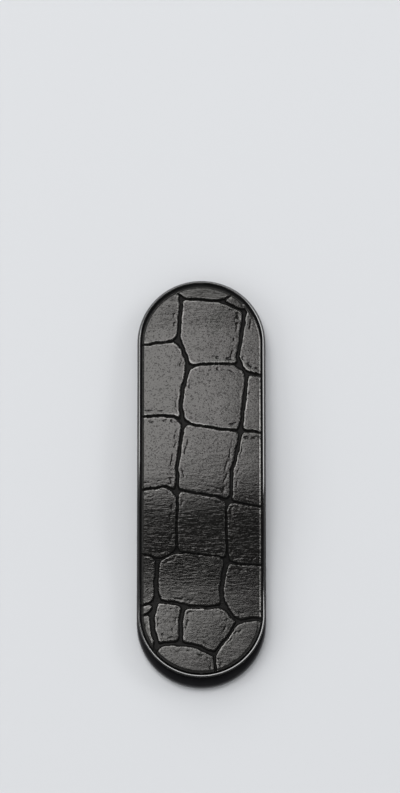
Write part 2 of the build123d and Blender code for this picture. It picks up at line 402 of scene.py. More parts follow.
@dataclass(frozen=True)
class HideRelief:
    """The embossed crocodile relief: pillowed scales parted by furrows. Sizes in millimetres."""

    depth: float = 0.42
    junction: float = 0.3
    narrow: float = 0.14
    wall: float = 0.22
    shoulder: float = 0.04
    crown: float = 0.035
    crease: float = 0.06
    wrinkle: float = 0.006
    cushion: float = 0.22
    shoulder_length: float = 0.06
    crown_length: float = 2.2
    cushion_half: float = 11.8
    crease_place: float = 0.9
    crease_stray: float = 0.4
    crease_width: float = 0.17
    lip_place: float = 0.24
    lip_width: float = 0.13
    wander: float = 0.1
    wander_cell: Pair = (1.3, 1.3)
    rough: float = 0.07
    rough_cell: Pair = (0.5, 0.5)
    gap_limits: Pair = (-2.0, 8.0)
    bite_cell: Pair = (0.65, 0.65)
    bite_range: Pair = (-0.1, 0.45)
    bite_patch_cell: Pair = (3.2, 3.2)
    bite_patch_range: Pair = (-0.35, 0.25)
    stray_cell: Pair = (1.6, 1.6)
    wrinkle_cell: Pair = (2.1, 0.42)
    wrinkle_rest: float = 0.5
    wrinkle_gain: float = 1.1
    wrinkle_place: float = -13.0
    wrinkle_reach: float = 10.0
    pebble: float = 0.003
    pebble_cell: Pair = (0.7, 0.6)
    swell: float = 0.02
    swell_cell: Pair = (5.0, 4.0)
    wear: float = 0.65
    wear_spread: float = 0.35
    wear_cell: Pair = (1.8, 1.8)

    def edge_distance(self, across: np.ndarray, along: np.ndarray) -> np.ndarray:
        """How far each place lies inside a scale's edge, with furrows that flare where they meet.

        Args:
            across: Places across the band.
            along: Places along the band, from its middle.

        Returns:
            The distances, below 0 in a furrow.
        """
        wander_x = across + self.wander * mottle(across, along, self.wander_cell, Pattern.WANDER_ACROSS)
        wander_y = along + self.wander * mottle(across, along, self.wander_cell, Pattern.WANDER_ALONG)
        total = np.zeros(across.shape)
        for furrow in HIDE_FURROWS:
            gap = np.clip(furrow.distance(wander_x, wander_y), *self.gap_limits)
            total += np.exp(-gap / self.junction)
        rough = self.rough * mottle(across, along, self.rough_cell, Pattern.ROUGH)
        return self.narrow - self.junction * np.log(total) + rough

    def heights(self, across: np.ndarray, along: np.ndarray) -> tuple[np.ndarray, np.ndarray, np.ndarray]:
        """The relief over the leather.

        Args:
            across: Places across the band.
            along: Places along the band, from its middle.

        Returns:
            The height of each place against the scales' tops, how deep in a furrow it is, and how far it
            belongs to a scale's rubbed lip, both 0 to 1.
        """
        gap = self.edge_distance(across, along)
        in_furrow = 1 - smooth_step(gap, -self.wall / 2, self.wall / 2)
        inside = np.maximum(gap, 0)
        height = -self.depth * in_furrow
        height -= self.shoulder * np.exp(-inside / self.shoulder_length)
        height -= self.crown * np.exp(-inside / self.crown_length)
        height -= self.cushion * (across / self.cushion_half) ** 2
        bites = mottle(across, along, self.bite_cell, Pattern.BITE)
        patches = mottle(across, along, self.bite_patch_cell, Pattern.BITE_PATCH)
        bitten = smooth_step(bites, *self.bite_range) * smooth_step(patches, *self.bite_patch_range)
        stray = self.crease_stray * mottle(across, along, self.stray_cell, Pattern.STRAY)
        strayed = gap - self.crease_place - stray
        height -= self.crease * bitten * np.exp(-((strayed / self.crease_width) ** 2))
        away = (along - self.wrinkle_place) / self.wrinkle_reach
        stretched = self.wrinkle_rest + self.wrinkle_gain * np.exp(-(away**2))
        wrinkles = mottle(across, along, self.wrinkle_cell, Pattern.WRINKLE)
        pebbles = mottle(across, along, self.pebble_cell, Pattern.PEBBLE)
        height += self.wrinkle * stretched * wrinkles * (1 - in_furrow)
        height += self.pebble * pebbles * (1 - in_furrow)
        height += self.swell * mottle(across, along, self.swell_cell, Pattern.SWELL)
        worn = self.wear + self.wear_spread * mottle(across, along, self.wear_cell, Pattern.WEAR)
        lip = worn * np.exp(-(((gap - self.lip_place) / self.lip_width) ** 2))
        return height, in_furrow, lip


def stadium_width(along: np.ndarray, half_width: float, low: float, high: float) -> np.ndarray:
    """Half width of a round-ended outline at places along it.

    Args:
        along: The places.
        half_width: Half width of the straight part, and radius of the ends.
        low: Lower end of the outline.
        high: Upper end of the outline.

    Returns:
        The half widths.
    """
    past = np.maximum(along - (high - half_width), 0) + np.maximum(low + half_width - along, 0)
    return np.sqrt(np.maximum(half_width**2 - past**2, 0))


def new_piece(name: str, mesh: Mesh, material: Material) -> Object:
    """Puts a mesh into the scene as a piece of the grip.

    Args:
        name: The piece's name.
        mesh: Its finished mesh.
        material: Its finish.

    Returns:
        The new object.
    """
    piece = bpy.data.objects.new(name, mesh)
    bpy.context.scene.collection.objects.link(piece)
    mesh.materials.append(material)
    return piece


def take_mesh(bm: BMesh, name: str) -> Mesh:
    """Turns a bmesh into a mesh with a name, and frees it.

    Args:
        bm: The finished bmesh.
        name: The mesh's name.

    Returns:
        The mesh.
    """
    mesh = bpy.data.meshes.new(name)
    bm.to_mesh(mesh)
    bm.free()
    return mesh


def read_points(mesh: Mesh, field_name: str = "co") -> np.ndarray:
    """Vertex places or normals of a mesh.

    Args:
        mesh: The mesh.
        field_name: Blender's name for places or normals.

    Returns:
        One vertex a row.
    """
    values = np.empty(len(mesh.vertices) * 3)
    mesh.vertices.foreach_get(field_name, values)
    return values.reshape(-1, 3)


def keep_values(mesh: Mesh, name: str, values: np.ndarray) -> None:
    """Stores one number or vector for each vertex of a mesh, under a name that materials can read.

    Args:
        mesh: The mesh.
        name: The name.
        values: A number or a row for each vertex.
    """
    kind, key = ("FLOAT", "value") if values.ndim == 1 else ("FLOAT_VECTOR", "vector")
    layer = mesh.attributes.get(name) or mesh.attributes.new(name, kind, "POINT")
    layer.data.foreach_set(key, values.astype(np.float32).ravel())


def fill_across(bm: BMesh, edges: list[BMEdge]) -> None:
    """Closes a round-ended ring with strips that run from one side to the other.

    Args:
        bm: The mesh.
        edges: The ring's edges.
    """
    tips = {max((v for e in edges for v in e.verts), key=lambda v: v.co.y)}
    tips.add(min((v for e in edges for v in e.verts), key=lambda v: v.co.y))
    sides = [edge for edge in edges if not tips & set(edge.verts)]
    bmesh.ops.bridge_loops(bm, edges=sides)
    open_edges = [edge for edge in bm.edges if edge.is_boundary and tips & set(edge.verts)]
    corners = {v for edge in open_edges for v in edge.verts}
    closing = [edge for edge in bm.edges if edge.is_boundary and set(edge.verts) <= corners]
    bmesh.ops.holes_fill(bm, edges=closing, sides=0)


@dataclass(frozen=True)
class StadiumLoft:
    """A round-ended body drawn as rings: each ring has an inset from the outline and a level, in metres."""

    half_width: float
    low: float
    high: float
    rings: tuple[Pair, ...]
    end_steps: int = 90
    side_step: float = 0.8 * MM

    def build(self) -> BMesh:
        """Draws the outline, extrudes it ring by ring and closes both faces.

        Returns:
            The closed body, lying flat.
        """
        bm = bmesh.new()
        bmesh.ops.create_circle(bm, segments=2 * self.end_steps + 2, radius=self.half_width)
        run = (self.high - self.low) / 2 - self.half_width
        for sign in (-1, 1):
            half = [v for v in bm.verts if v.co.y * sign > 0]
            bmesh.ops.translate(bm, verts=half, vec=(0, sign * run, 0))
        straight = [e for e in bm.edges if e.calc_length() > 1.5 * run]
        bmesh.ops.subdivide_edges(bm, edges=straight, cuts=int(2 * run / self.side_step))
        bmesh.ops.translate(bm, verts=bm.verts[:], vec=(0, (self.high + self.low) / 2, 0))
        ring = list(bm.edges)
        self.set_ring(ring, 0.0, self.rings[0])
        first, inset = ring, self.rings[0][0]
        for target in self.rings[1:]:
            made = bmesh.ops.extrude_edge_only(bm, edges=ring)["geom"]
            ring = [item for item in made if isinstance(item, BMEdge) and item.is_boundary]
            self.set_ring(ring, inset, target)
            inset = target[0]
        fill_across(bm, first)
        fill_across(bm, ring)
        bmesh.ops.recalc_face_normals(bm, faces=bm.faces[:])
        return bm

    def set_ring(self, ring: list[BMEdge], inset: float, target: Pair) -> None:
        """Moves a ring from one inset of the outline to another, and to its level.

        Args:
            ring: The ring's edges.
            inset: The inset that the ring has now.
            target: The inset and the level that it gets.
        """
        share = (self.half_width - target[0]) / (self.half_width - inset)
        low, high = self.low + self.half_width, self.high - self.half_width
        for vert in {v for edge in ring for v in edge.verts}:
            spine = min(max(vert.co.y, low), high)
            vert.co = (vert.co.x * share, spine + (vert.co.y - spine) * share, target[1])


def cut_length(whole: BMesh, low: float, high: float) -> BMesh:
    """Cuts one length out of a flat body and closes its cut faces.

    Args:
        whole: The flat body.
        low: Lower place of the length.
        high: Upper place of the length.

    Returns:
        The length, as a mesh of its own.
    """
    bm = whole.copy()
    for place, normal in ((high, 1), (low, -1)):
        everything = bm.verts[:] + bm.edges[:] + bm.faces[:]
        plane, facing = (0, place, 0), (0, normal, 0)
        bmesh.ops.bisect_plane(
            bm, geom=everything, dist=CUT_SNAP, plane_co=plane, plane_no=facing, clear_outer=True
        )
    rim = [edge for edge in bm.edges if edge.is_boundary]
    if rim:
        bmesh.ops.holes_fill(bm, edges=rim, sides=0)
    return bm


@dataclass
class LeatherFacing:
    """The embossed leather facing inside the rim."""

    lay: BandLay
    bow: Bow
    relief: HideRelief
    spacing: float = 0.11 * MM
    roll: float = 0.42 * MM
    roll_drop: float = 0.21 * MM
    bed: float = 0.04 * MM
    least: float = 0.1 * MM
    crowding: float = 0.12
    lip_fade: float = 0.3
    tip_stretch: float = 1.4
    tip_angle: float = math.radians(88.6)

    def stations(self) -> np.ndarray:
        """Places of the rows along the leather, close together round the ends, with one on every seam.

        Returns:
            The places from foot to head.
        """
        radius = self.lay.leather_half_width
        low, high = self.lay.leather_foot_end + radius, self.lay.leather_head_end - radius
        steps = int(self.tip_angle * radius / (self.tip_stretch * self.spacing))
        swing = np.linspace(0, self.tip_angle, steps + 1)
        stops = (low, *reversed(self.lay.seams), high)
        rows = [low - radius * np.sin(swing[:0:-1])]
        for start, end in zip(stops, stops[1:]):
            count = max(1, round((end - start) / self.spacing))
            rows.append(np.linspace(start, end, count, endpoint=False))
        rows.append(high + radius * np.sin(swing))
        return np.concatenate(rows)

    def blank(self, columns: int, rows: int) -> Mesh:
        """A closed unit blank: a fine top grid, a wall round it and a bottom of cross strips.

        Args:
            columns: Cells across.
            rows: Cells along.

        Returns:
            The mesh, its top at level 0 and its bottom at -1.
        """
        bm = bmesh.new()
        bmesh.ops.create_grid(bm, x_segments=columns, y_segments=rows, size=0.5)
        outline = [edge for edge in bm.edges if edge.is_boundary]
        made = bmesh.ops.extrude_edge_only(bm, edges=outline)["geom"]
        skirt = [item for item in made if isinstance(item, BMVert)]
        bmesh.ops.translate(bm, verts=skirt, vec=(0, 0, -1))
        flank = 0.4999
        sides = [
            edge
            for edge in bm.edges
            if edge.is_boundary and all(abs(vert.co.x) > flank for vert in edge.verts)
        ]
        bmesh.ops.bridge_loops(bm, edges=sides)
        bmesh.ops.holes_fill(bm, edges=[edge for edge in bm.edges if edge.is_boundary], sides=0)
        bmesh.ops.recalc_face_normals(bm, faces=bm.faces[:])
        return take_mesh(bm, "leather_blank")

    def emboss(self) -> BMesh:
        """Presses the relief into the blank and rolls its edge down.

        Returns:
            The whole flat leather.
        """
        lay = self.lay
        radius, low, high = lay.leather_half_width, lay.leather_foot_end, lay.leather_head_end
        rows = self.stations()
        columns = round(2 * radius / self.spacing)
        mesh = self.blank(columns, len(rows) - 1)
        unit = read_points(mesh)
        along = rows[np.rint((unit[:, 1] + 0.5) * (len(rows) - 1)).astype(int)]
        share = 2 * unit[:, 0]
        share = (1 + self.crowding) * share - self.crowding * share**3
        across = share * stadium_width(along, radius, low, high)
        spine = np.clip(along, low + radius, high - radius)
        inset = radius - np.hypot(across, along - spine)
        height, furrow, lip = self.relief.heights(across / MM, (along - lay.middle) / MM)
        fade = np.clip(1 - inset / self.roll, 0, 1)
        top = lay.leather_top + height * MM - self.roll_drop * fade
        floor = lay.floor + self.bed
        level = np.where(unit[:, 2] < -0.5, floor, np.maximum(top, floor + self.least))
        points = np.column_stack((across, along, level))
        mesh.vertices.foreach_set("co", points.ravel())
        mesh.update()
        keep_values(mesh, "whole_normal", read_points(mesh, "normal"))
        keep_values(mesh, "furrow", furrow)
        keep_values(mesh, "lip", np.maximum(lip, smooth_step(fade, 0.0, self.lip_fade)))
        bm = bmesh.new()
        bm.from_mesh(mesh)
        bpy.data.meshes.remove(mesh)
        return bm

    def build(self, material: Material) -> list[Object]:
        """Makes the four lengths of leather.

        Args:
            material: The leather's finish.

        Returns:
            The pieces, head first.
        """
        whole = self.emboss()
        pieces = []
        for length in Length:
            mesh = take_mesh(cut_length(whole, *self.lay.reach(length)), f"leather_{length.name.lower()}")
            flat = read_points(mesh)
            normals = np.empty(len(flat) * 3, np.float32)
            mesh.attributes["whole_normal"].data.foreach_get("vector", normals)
            turned = self.bow.turn(flat, normals.reshape(-1, 3).astype(float))
            mesh.attributes.remove(mesh.attributes["whole_normal"])
            keep_values(mesh, "lay", flat / MM)
            mesh.vertices.foreach_set("co", self.bow.bend(flat).ravel())
            mesh.shade_smooth()
            mesh.update()
            mesh.normals_split_custom_set_from_vertices(turned.tolist())
            piece = new_piece(f"croc_leather_{length.name.lower()}", mesh, material)
            join_bodies(piece, length, self.lay, self.bow, "leather")
            pieces.append(piece)
        whole.free()
        return pieces


def join_bodies(piece: Object, length: Length, lay: BandLay, bow: Bow, layer: str) -> None:
    """Bakes a piece's transform into its mesh and hides the two CAD panels that it stands for.

    Args:
        piece: The piece, at rest.
        length: Which length of the band it is.
        lay: The band's lay.
        bow: The band's arch.
        layer: The layer's name in the CAD, band or leather.
    """
    start, end = (bow.place(place) for place in lay.bend_zone(length))
    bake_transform(piece)
    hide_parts(*(f"{layer}_{panel}" for panel in length.panels))


@dataclass
class MouldedBand:
    """The flexible band: a floor with a chamfered rim, notched underneath where it bends most."""

    lay: BandLay
    bow: Bow
    rim_width: float = 0.42 * MM
    rim_root: float = 0.68 * MM
    rim_round: float = 0.06 * MM
    rim_flank: Pair = (0.2 * MM, 0.22 * MM)
    crest_break: float = 0.02 * MM
    crest_lap: float = 0.01 * MM
    lower_edge: float = 0.25 * MM
    notch_half: float = 0.6 * MM
    notch_skin: float = 0.12 * MM
    edge_step: float = 0.08 * MM
    notch_flat: float = 0.04 * MM
    arc_steps: int = 5
    sharp_angle: float = math.radians(25)

    def profile(self) -> tuple[Pair, ...]:
        """The band's section from its underside, up its wall, over the rim and down to the floor.

        Returns:
            Insets and levels.
        """
        lay, r, w = self.lay, self.rim_round, self.rim_width
        run, drop = self.rim_flank
        swing = [math.pi / 2 * step / self.arc_steps for step in range(self.arc_steps + 1)]
        outer = [
            (0.0, lay.rim_top - drop),
            (run - self.crest_break, lay.rim_top - self.crest_break),
            (run + self.crest_lap, lay.rim_top),
        ]
        inner = [(w - r + r * math.sin(a), lay.rim_top - r + r * math.cos(a)) for a in swing]
        below = [
            (self.lower_edge, lay.bottom),
            (self.edge_step, lay.bottom + self.edge_step),
            (0.0, lay.bottom + self.lower_edge),
            (0.0, lay.bottom + self.lower_edge + self.edge_step),
            (0.0, lay.rim_top - drop - self.edge_step),
        ]
        return (*below, *outer, *inner[:-2], (self.rim_root, lay.floor))

    def notch(self, bm: BMesh) -> None:
        """Cuts the two notches under the bridge's ends.

        Args:
            bm: The flat band.
        """
        lay = self.lay
        peak = lay.floor - self.notch_skin
        for line in lay.flex[1:3]:
            for offset in (-self.notch_half, -self.notch_flat, self.notch_flat, self.notch_half):
                everything = bm.verts[:] + bm.edges[:] + bm.faces[:]
                plane = (0, line + offset, 0)
                bmesh.ops.bisect_plane(bm, geom=everything, dist=CUT_SNAP, plane_co=plane, plane_no=(0, 1, 0))
            for vert in bm.verts:
                away = max(abs(vert.co.y - line) - self.notch_flat, 0)
                share = 1 - away / (self.notch_half - self.notch_flat)
                if share > 0 and vert.co.z < peak:
                    vert.co.z = max(vert.co.z, lay.bottom + share * (peak - lay.bottom))

    def recess(self, flat: np.ndarray) -> np.ndarray:
        """How far points lie inside the rim.

        Args:
            flat: Points of the flat band.

        Returns:
            0 on the rim and outside it, 1 on the floor.
        """
        lay = self.lay
        spine = np.clip(flat[:, 1], lay.foot_end + lay.half_width, lay.head_end - lay.half_width)
        inset = lay.half_width - np.hypot(flat[:, 0], flat[:, 1] - spine)
        return smooth_step(inset, self.rim_width - self.rim_round / 2, self.rim_width + self.rim_round / 2)

    def build(self, material: Material) -> list[Object]:
        """Makes the four lengths of the band.

        Args:
            material: The band's finish.

        Returns:
            The pieces, head first.
        """
        lay = self.lay
        whole = StadiumLoft(lay.half_width, lay.foot_end, lay.head_end, self.profile()).build()
        self.notch(whole)
        pieces = []
        for length in Length:
            mesh = take_mesh(cut_length(whole, *lay.reach(length)), f"band_{length.name.lower()}")
            flat = read_points(mesh)
            keep_values(mesh, "lay", flat / MM)
            keep_values(mesh, "recess", self.recess(flat))
            mesh.vertices.foreach_set("co", self.bow.bend(flat).ravel())
            mesh.shade_smooth()
            mesh.update()
            mesh.set_sharp_from_angle(angle=self.sharp_angle)
            piece = new_piece(f"moulded_band_{length.name.lower()}", mesh, material)
            join_bodies(piece, length, lay, self.bow, "band")
            pieces.append(piece)
        whole.free()
        return pieces


@dataclass
class FoamPad:
    """The foam pad that sticks the grip down."""

    edge: float = 0.1 * MM
    edge_share: float = 0.3
    sharp_angle: float = math.radians(50)

    def build(self, material: Material) -> Object:
        """Makes the pad with softly pressed edges.

        Args:
            material: The foam's finish.

        Returns:
            The pad.
        """
        low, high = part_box("adhesive_pad")
        corner = self.edge_share * self.edge
        rings = (
            (self.edge, low.z),
            (corner, low.z + corner),
            (0.0, low.z + self.edge),
            (0.0, high.z - self.edge),
            (corner, high.z - corner),
            (self.edge, high.z),
        )
        mesh = take_mesh(StadiumLoft(high.x, low.y, high.y, rings).build(), "foam_pad")
        mesh.shade_smooth()
        mesh.set_sharp_from_angle(angle=self.sharp_angle)
        keep_values(mesh, "lay", read_points(mesh) / MM)
        pad = new_piece("foam_pad", mesh, material)
        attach(pad, "base")
        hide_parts("adhesive_pad")
        return pad


class Coordinates(Enum):
    """What a finish is laid out on."""

    LAY = "the flat lay stored with a new piece"
    OBJECT = "the place of a CAD solid"


class Bench:
    """A node tree with short ways to add nodes and join them."""

    def __init__(self, tree: NodeTree) -> None:
        """Takes the tree to work on."""
        self.tree = tree

    def add(self, kind: str, **values: object) -> Node:
        """Adds a node.

        Args:
            kind: The node's type, without ShaderNode in front.
            values: Inputs by name, with _ for a space, or properties of the node.

        Returns:
            The node.
        """
        node = self.tree.nodes.new(f"ShaderNode{kind}")
        for name, value in values.items():
            if hasattr(node, name):
                setattr(node, name, value)
        for name, value in values.items():
            if not hasattr(node, name):
                node.inputs[name.replace("_", " ")].default_value = value
        return node

    def join(self, source: NodeSocket, target: NodeSocket) -> None:
        """Joins an output to an input."""
        self.tree.links.new(source, target)

    def maths(self, operation: str, first: object, second: object = 0.0) -> NodeSocket:
        """Adds a sum of two values, each a number or an output.

        Args:
            operation: Blender's name of the sum.
            first: First value.
            second: Second value.

        Returns:
            The result's socket.
        """
        node = self.add("Math", operation=operation)
        for socket, value in zip(node.inputs, (first, second)):
            if isinstance(value, NodeSocket):
                self.join(value, socket)
            else:
                socket.default_value = value
        return node.outputs[0]

    def span(self, source: NodeSocket, low: float, high: float) -> NodeSocket:
        """Spreads a value from 0..1 to low..high.

        Args:
            source: The value.
            low: What 0 becomes.
            high: What 1 becomes.

        Returns:
            The result's socket.
        """
        node = self.add("MapRange", To_Min=low, To_Max=high)
        self.join(source, node.inputs["Value"])
        return node.outputs["Result"]

    def blend(
        self, share: NodeSocket, first: tuple[float, ...], second: tuple[float, ...]
    ) -> NodeSocket:
        """Blends two colours.

        Args:
            share: How much of the second shows.
            first: First colour.
            second: Second colour.

        Returns:
            The colour's socket.
        """
        node = self.add("Mix", data_type="RGBA")
        self.join(share, node.inputs["Factor"])
        node.inputs["A"].default_value = (*first, 1)
        node.inputs["B"].default_value = (*second, 1)
        return node.outputs["Result"]


class GrainGroup:
    """Shared node group: fine surface grain, pits and broad mottling over a lay in millimetres."""

    NAME = "surface_grain"
    NOISES = (
        ("Height", "Fine Scale", 5.0, 0.6, None),
        ("Pits", "Pit Scale", 2.0, 0.6, (0.34, 0.42)),
        ("Mottle", "Broad Scale", 3.0, 0.55, (0.3, 0.7)),
    )

    @classmethod
    def tree(cls) -> NodeTree:
        """The group, built the first time that it is asked for."""
        return bpy.data.node_groups.get(cls.NAME) or cls.build()

    @classmethod
    def build(cls) -> NodeTree:
        """Builds the group.

        Returns:
            The node group, with outputs Height, Pits and Mottle.
        """
        tree = bpy.data.node_groups.new(cls.NAME, "ShaderNodeTree")
        sockets = tree.interface
        sockets.new_socket("Lay", in_out="INPUT", socket_type="NodeSocketVector")
        bench = Bench(tree)
        source = tree.nodes.new("NodeGroupInput")
        result = tree.nodes.new("NodeGroupOutput")
        for output, scale, detail, roughness, spread in cls.NOISES:
            sockets.new_socket(scale, in_out="INPUT", socket_type="NodeSocketFloat")
            sockets.new_socket(output, in_out="OUTPUT", socket_type="NodeSocketFloat")
            noise = bench.add("TexNoise", Detail=detail, Roughness=roughness)
            bench.join(source.outputs["Lay"], noise.inputs["Vector"])
            bench.join(source.outputs[scale], noise.inputs["Scale"])
            value = noise.outputs["Fac"]
            if spread:
                low, high = spread
                steps = bench.add("MapRange", interpolation_type="SMOOTHSTEP", From_Min=low, From_Max=high)
                bench.join(value, steps.inputs["Value"])
                value = steps.outputs["Result"]
            bench.join(value, result.inputs[output])
        return tree


@dataclass(frozen=True)
class Finish:
    """What all finishes share: a name, two tones, a roughness range and a grain."""

    name: str
    tone: Triple
    second_tone: Triple
    roughness: Pair
    fine_scale: float
    pit_scale: float
    broad_scale: float
    fine_height: float
    coordinates: Coordinates

    def start(self) -> tuple[Material, Bench, Node, NodeSocket, Node]:
        """Makes a material with its grain in place.

        Returns:
            The material, its bench, its shader, the lay's socket and the grain.
        """
        material = bpy.data.materials.new(self.name)
        material.use_nodes = True
        bench = Bench(material.node_tree)
        shader = material.node_tree.nodes["Principled BSDF"]
        if self.coordinates is Coordinates.LAY:
            lay = bench.add("Attribute", attribute_name="lay").outputs["Vector"]
        else:
            place = bench.add("TexCoord").outputs["Object"]
            scaled = bench.add("VectorMath", operation="SCALE", Scale=1 / MM)
            bench.join(place, scaled.inputs[0])
            lay = scaled.outputs["Vector"]
        grain = material.node_tree.nodes.new("ShaderNodeGroup")
        grain.node_tree = GrainGroup.tree()
        grain.inputs["Fine Scale"].default_value = self.fine_scale
        grain.inputs["Pit Scale"].default_value = self.pit_scale
        grain.inputs["Broad Scale"].default_value = self.broad_scale
        bench.join(lay, grain.inputs["Lay"])
        return material, bench, shader, lay, grain

    def bump(
        self, bench: Bench, height: NodeSocket, depth: float, under: NodeSocket | None = None
    ) -> NodeSocket:
        """Adds a bump of a real depth.

        Args:
            bench: The material's bench.
            height: Height from 0 to 1.
            depth: What 1 stands for, in metres.
            under: A normal that this bump is laid on.

        Returns:
            The normal's socket.
        """
        node = bench.add("Bump", Strength=1.0, Distance=depth)
        bench.join(height, node.inputs["Height"])
        if under is not None:
            bench.join(under, node.inputs["Normal"])
        return node.outputs["Normal"]


@dataclass(frozen=True)
class MouldedFinish(Finish):
    """Moulded plastic or rubber: near black, with a faint peel in its gloss and broad handling marks."""

    gloss: float = 0.5

    def build(self) -> Material:
        """Mixes the finish.

        Returns:
            The finished material.
        """
        material, bench, shader, _, grain = self.start()
        tone = bench.blend(grain.outputs["Mottle"], self.tone, self.second_tone)
        bench.join(tone, shader.inputs["Base Color"])
        bench.join(bench.span(grain.outputs["Mottle"], *self.roughness), shader.inputs["Roughness"])
        bench.join(self.bump(bench, grain.outputs["Height"], self.fine_height), shader.inputs["Normal"])
        shader.inputs["Specular IOR Level"].default_value = self.gloss
        return material


@dataclass(frozen=True)
class RimmedFinish(MouldedFinish):
    """The band's moulding: gloss on its rim, dull on the floor that the leather lies on."""

    recess_gloss: float = 0.05
    recess_roughness: float = 0.6
    lacquer: float = 1.0
    lacquer_roughness: float = 0.06

    def build(self) -> Material:
        """Mixes the finish.

        Returns:
            The finished material.
        """
        material = super().build()
        bench = Bench(material.node_tree)
        shader = material.node_tree.nodes["Principled BSDF"]
        recess = bench.add("Attribute", attribute_name="recess").outputs["Fac"]
        bench.join(bench.span(recess, self.gloss, self.recess_gloss), shader.inputs["Specular IOR Level"])
        glaze = shader.inputs["Roughness"].links[0].from_socket
        dull = bench.maths("MULTIPLY", recess, self.recess_roughness)
        bench.join(bench.maths("ADD", glaze, dull), shader.inputs["Roughness"])
        bench.join(bench.span(recess, self.lacquer, 0.0), shader.inputs["Coat Weight"])
        shader.inputs["Coat Roughness"].default_value = self.lacquer_roughness
        return material


@dataclass(frozen=True)
class SteelFinish(Finish):
    """Plain steel with fine scratches."""

    def build(self) -> Material:
        """Mixes the finish.

        Returns:
            The finished material.
        """
        material, bench, shader, _, grain = self.start()
        shader.inputs["Metallic"].default_value = 1.0
        tone = bench.blend(grain.outputs["Mottle"], self.tone, self.second_tone)
        bench.join(tone, shader.inputs["Base Color"])
        bench.join(bench.span(grain.outputs["Height"], *self.roughness), shader.inputs["Roughness"])
        bench.join(self.bump(bench, grain.outputs["Height"], self.fine_height), shader.inputs["Normal"])
        return material


@dataclass(frozen=True)
class FoamFinish(Finish):
    """Closed-cell foam: matt, with small open cells on its cut edge, their colour darkened as painted shade.
    """

    cell_depth: float = 0.024 * MM

    def build(self) -> Material:
        """Mixes the finish.

        Returns:
            The finished material.
        """
        material, bench, shader, _, grain = self.start()
        # The open cells take the darker second tone: painted shade in the pits.
        tone = bench.blend(grain.outputs["Pits"], self.second_tone, self.tone)
        bench.join(tone, shader.inputs["Base Color"])
        bench.join(bench.span(grain.outputs["Mottle"], *self.roughness), shader.inputs["Roughness"])
        cells = self.bump(bench, grain.outputs["Pits"], self.cell_depth)
        normal = self.bump(bench, grain.outputs["Height"], self.fine_height, cells)
        bench.join(normal, shader.inputs["Normal"])
        return material


@dataclass(frozen=True)
class LeatherFinish(Finish):
    """Glazed embossed leather: pored scales, finely wrinkled where the band bends, dull in the furrows, whose
    colour is darkened as painted shade.
    """

    glaze_tint: Triple = (1.0, 0.98, 0.95)
    # Darker colour in the furrows: painted shade in the recesses.
    furrow_shade_tone: Triple = (0.004, 0.004, 0.004)
    furrow_roughness: float = 0.25
    gloss: float = 0.5
    furrow_gloss: float = 0.125
    pore_gloss: float = 0.65
    lip_gloss: float = 2.8
    pore_depth: float = 0.01 * MM
    wrinkle_depth: float = 0.08 * MM
    wrinkle_place: float = -13.0
    wrinkle_reach: float = 16.0
    wrinkle_rest: float = 0.18
    wrinkle_squeeze: Triple = (0.65, 2.8, 1.0)

    def wrinkles(self, bench: Bench, lay: NodeSocket) -> NodeSocket:
        """Fine cross wrinkles, strongest where the lower half of the band bends.

        Args:
            bench: The material's bench.
            lay: The flat lay.

        Returns:
            Their height.
        """
        squeeze = bench.add("VectorMath", operation="MULTIPLY")
        squeeze.inputs[1].default_value = self.wrinkle_squeeze
        bench.join(lay, squeeze.inputs[0])
        lines = bench.add("TexNoise", Scale=1.0, Detail=1.5, Roughness=0.6, Distortion=0.9)
        bench.join(squeeze.outputs["Vector"], lines.inputs["Vector"])
        axes = bench.add("SeparateXYZ")
        bench.join(lay, axes.inputs["Vector"])
        away = bench.maths("ABSOLUTE", bench.maths("SUBTRACT", axes.outputs["Y"], self.wrinkle_place))
        near = bench.add("MapRange", interpolation_type="SMOOTHSTEP", To_Min=1.0)
        near.inputs["From Max"].default_value = self.wrinkle_reach
        near.inputs["To Max"].default_value = self.wrinkle_rest
        bench.join(away, near.inputs["Value"])
        return bench.maths("MULTIPLY", lines.outputs["Fac"], near.outputs["Result"])

    def build(self) -> Material:
        """Mixes the finish.

        Returns:
            The finished material.
        """
        material, bench, shader, lay, grain = self.start()
        furrow = bench.add("Attribute", attribute_name="furrow").outputs["Fac"]
        # In the furrows the colour turns to the darker furrow tone: painted shade in the recesses.
        hide = bench.add("Mix", data_type="RGBA")
        bench.join(furrow, hide.inputs["Factor"])
        bench.join(bench.blend(grain.outputs["Mottle"], self.tone, self.second_tone), hide.inputs["A"])
        hide.inputs["B"].default_value = (*self.furrow_shade_tone, 1)
        bench.join(hide.outputs["Result"], shader.inputs["Base Color"])
        glaze = bench.span(grain.outputs["Mottle"], *self.roughness)
        dull = bench.maths("MULTIPLY", furrow, self.furrow_roughness)
        bench.join(bench.maths("ADD", glaze, dull), shader.inputs["Roughness"])
        lip = bench.add("Attribute", attribute_name="lip").outputs["Fac"]
        in_pores = bench.span(grain.outputs["Pits"], self.pore_gloss, 1.0)
        in_furrows = bench.span(furrow, self.gloss, self.furrow_gloss)
        on_lips = bench.span(lip, 1.0, self.lip_gloss)
        gloss = bench.maths("MULTIPLY", bench.maths("MULTIPLY", in_pores, in_furrows), on_lips)
        bench.join(gloss, shader.inputs["Specular IOR Level"])
        shader.inputs["Specular Tint"].default_value = (*self.glaze_tint, 1)
        normal = self.bump(bench, self.wrinkles(bench, lay), self.wrinkle_depth)
        normal = self.bump(bench, grain.outputs["Pits"], self.pore_depth, normal)
        normal = self.bump(bench, grain.outputs["Height"], self.fine_height, normal)
        bench.join(normal, shader.inputs["Normal"])
        return material


